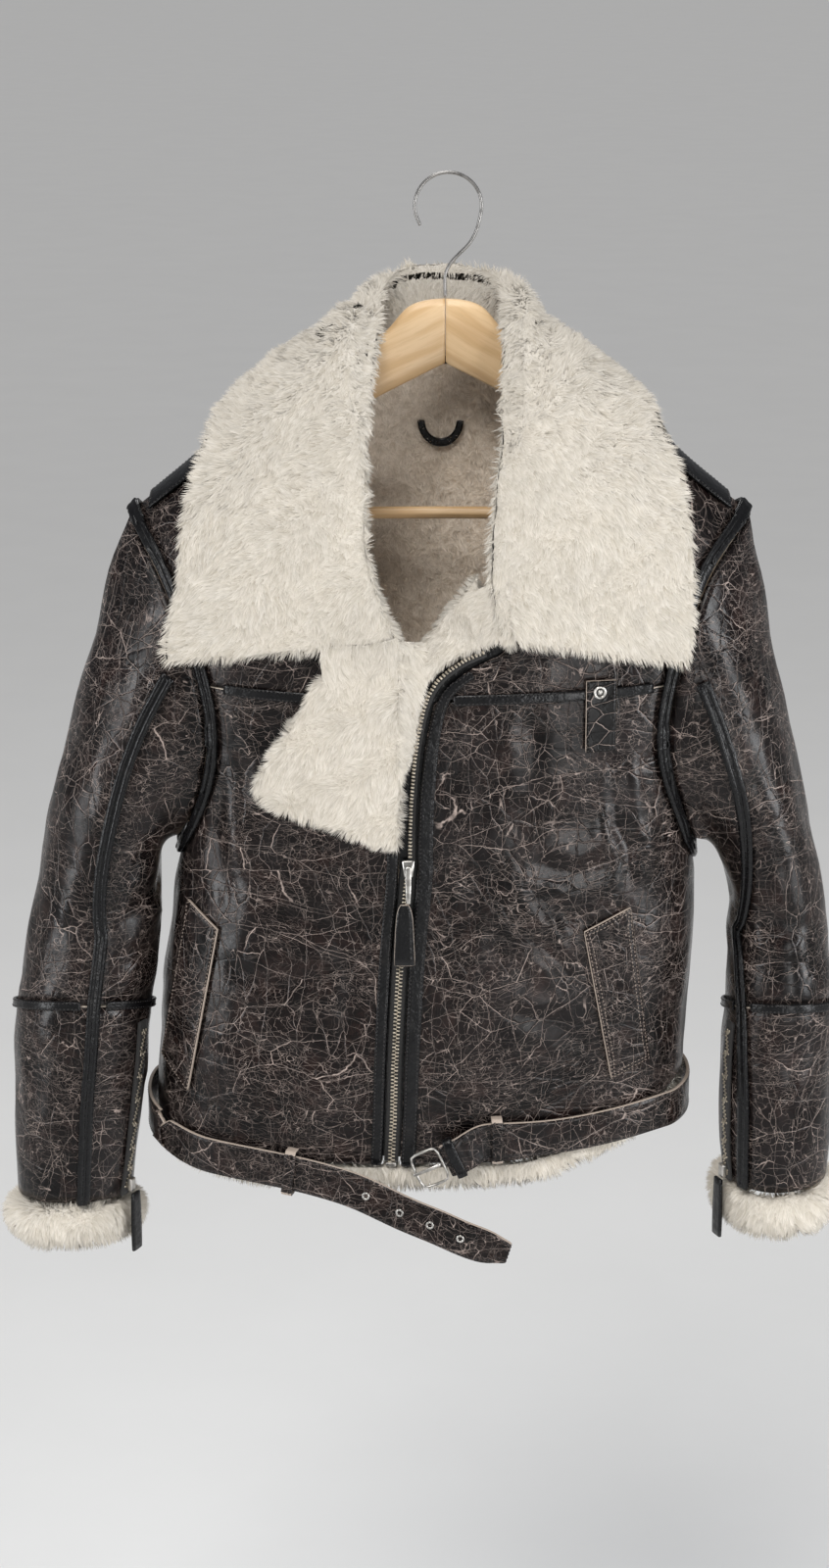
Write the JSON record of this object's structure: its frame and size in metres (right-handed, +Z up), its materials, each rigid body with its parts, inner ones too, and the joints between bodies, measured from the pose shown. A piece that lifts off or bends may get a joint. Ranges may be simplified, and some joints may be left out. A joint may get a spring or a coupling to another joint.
{
  "type": "shearling coat on a hanger",
  "caption": "Hip-length brown leather flying coat with cream fur collar, lapel, hem and cuffs, smooth black seam bindings, half-open slanted zip and loose belt, on a wooden hanger.",
  "frame": {"origin": "the inside top of the hanger's hook, where it rests on a rail", "axes": "+Z up; the coat's front faces -Y; +X is towards the coat's left sleeve, on the right when it is seen from the front"},
  "size_m": [0.704, 0.2612, 0.8811],
  "materials": {
    "brown_leather": "waxed, crackled",
    "black_leather": "smooth",
    "cream_fur": "long pile",
    "nickel": "satin",
    "zip_tape": "woven",
    "beech_wood": "satin"
  },
  "bodies": {
    "coat": {"hanger_arm_left": "beech_wood", "hanger_arm_right": "beech_wood", "hanger_bar": "beech_wood", "hanger_hook": "nickel", "front_left": "brown_leather", "yoke_left": "brown_leather", "front_right": "brown_leather", "yoke_right": "brown_leather", "back_left": "brown_leather", "back_right": "brown_leather", "armhole_binding_left": "black_leather", "armhole_binding_right": "black_leather", "shoulder_band_left": "black_leather", "shoulder_band_right": "black_leather", "sleeve_upper_left": "brown_leather", "sleeve_lower_left": "brown_leather", "sleeve_strip_left": "black_leather", "elbow_strip_left": "black_leather", "cuff_zip_left": "zip_tape", "cuff_slider_left": "nickel", "cuff_fur_left": "cream_fur", "sleeve_upper_right": "brown_leather", "sleeve_lower_right": "brown_leather", "sleeve_strip_right": "black_leather", "elbow_strip_right": "black_leather", "cuff_zip_right": "zip_tape", "cuff_slider_right": "nickel", "cuff_fur_right": "cream_fur", "collar": "cream_fur", "lapel": "cream_fur", "front_facing": "cream_fur", "zip_tape_left": "zip_tape", "zip_tape_right": "zip_tape", "front_binding_right": "black_leather", "front_binding_left": "black_leather", "zip_slider": "nickel", "zip_stop": "nickel", "yoke_binding_right": "black_leather", "yoke_binding_left": "black_leather", "chest_tab": "brown_leather", "chest_snap": "nickel", "pocket_left": "brown_leather", "pocket_right": "brown_leather", "belt": "brown_leather", "eyelet_1": "nickel", "eyelet_2": "nickel", "eyelet_3": "nickel", "eyelet_4": "nickel", "belt_loop_right": "brown_leather", "belt_loop_left": "brown_leather", "belt_keeper": "black_leather", "hem_fur": "cream_fur", "hang_loop": "black_leather"},
    "zip_pull": {"zip_link": "nickel", "zip_tab": "black_leather"},
    "pull_left": {"cuff_pull_left": "black_leather"},
    "pull_right": {"cuff_pull_right": "black_leather"},
    "buckle": {"buckle_frame": "nickel"},
    "prong": {"buckle_prong": "nickel"}
  },
  "joints": [
    {"name": "zip_pull_swing", "type": "hinge", "parent": "coat", "child": "zip_pull", "pos_m": [-0.03083, -0.12602, -0.521], "axis": [-1, 0, 0], "range_deg": [0, 90]},
    {"name": "cuff_pull_left_swing", "type": "hinge", "parent": "coat", "child": "pull_left", "pos_m": [-0.25649, -0.06906, -0.82174], "axis": [-0.4524, -0.8918, 0], "range_deg": [0, 75]},
    {"name": "cuff_pull_right_swing", "type": "hinge", "parent": "coat", "child": "pull_right", "pos_m": [0.22522, -0.06425, -0.81113], "axis": [-0.3995, 0.9167, 0], "range_deg": [0, 75]},
    {"name": "buckle_turn", "type": "hinge", "parent": "coat", "child": "buckle", "pos_m": [-0.003, -0.1355, -0.766], "axis": [-0.4067, 0, 0.9135], "range_deg": [0, 60]},
    {"name": "prong_turn", "type": "hinge", "parent": "buckle", "child": "prong", "pos_m": [-0.003, -0.1355, -0.766], "axis": [-0.4067, 0, 0.9135], "range_deg": [0, 45]}
  ]
}
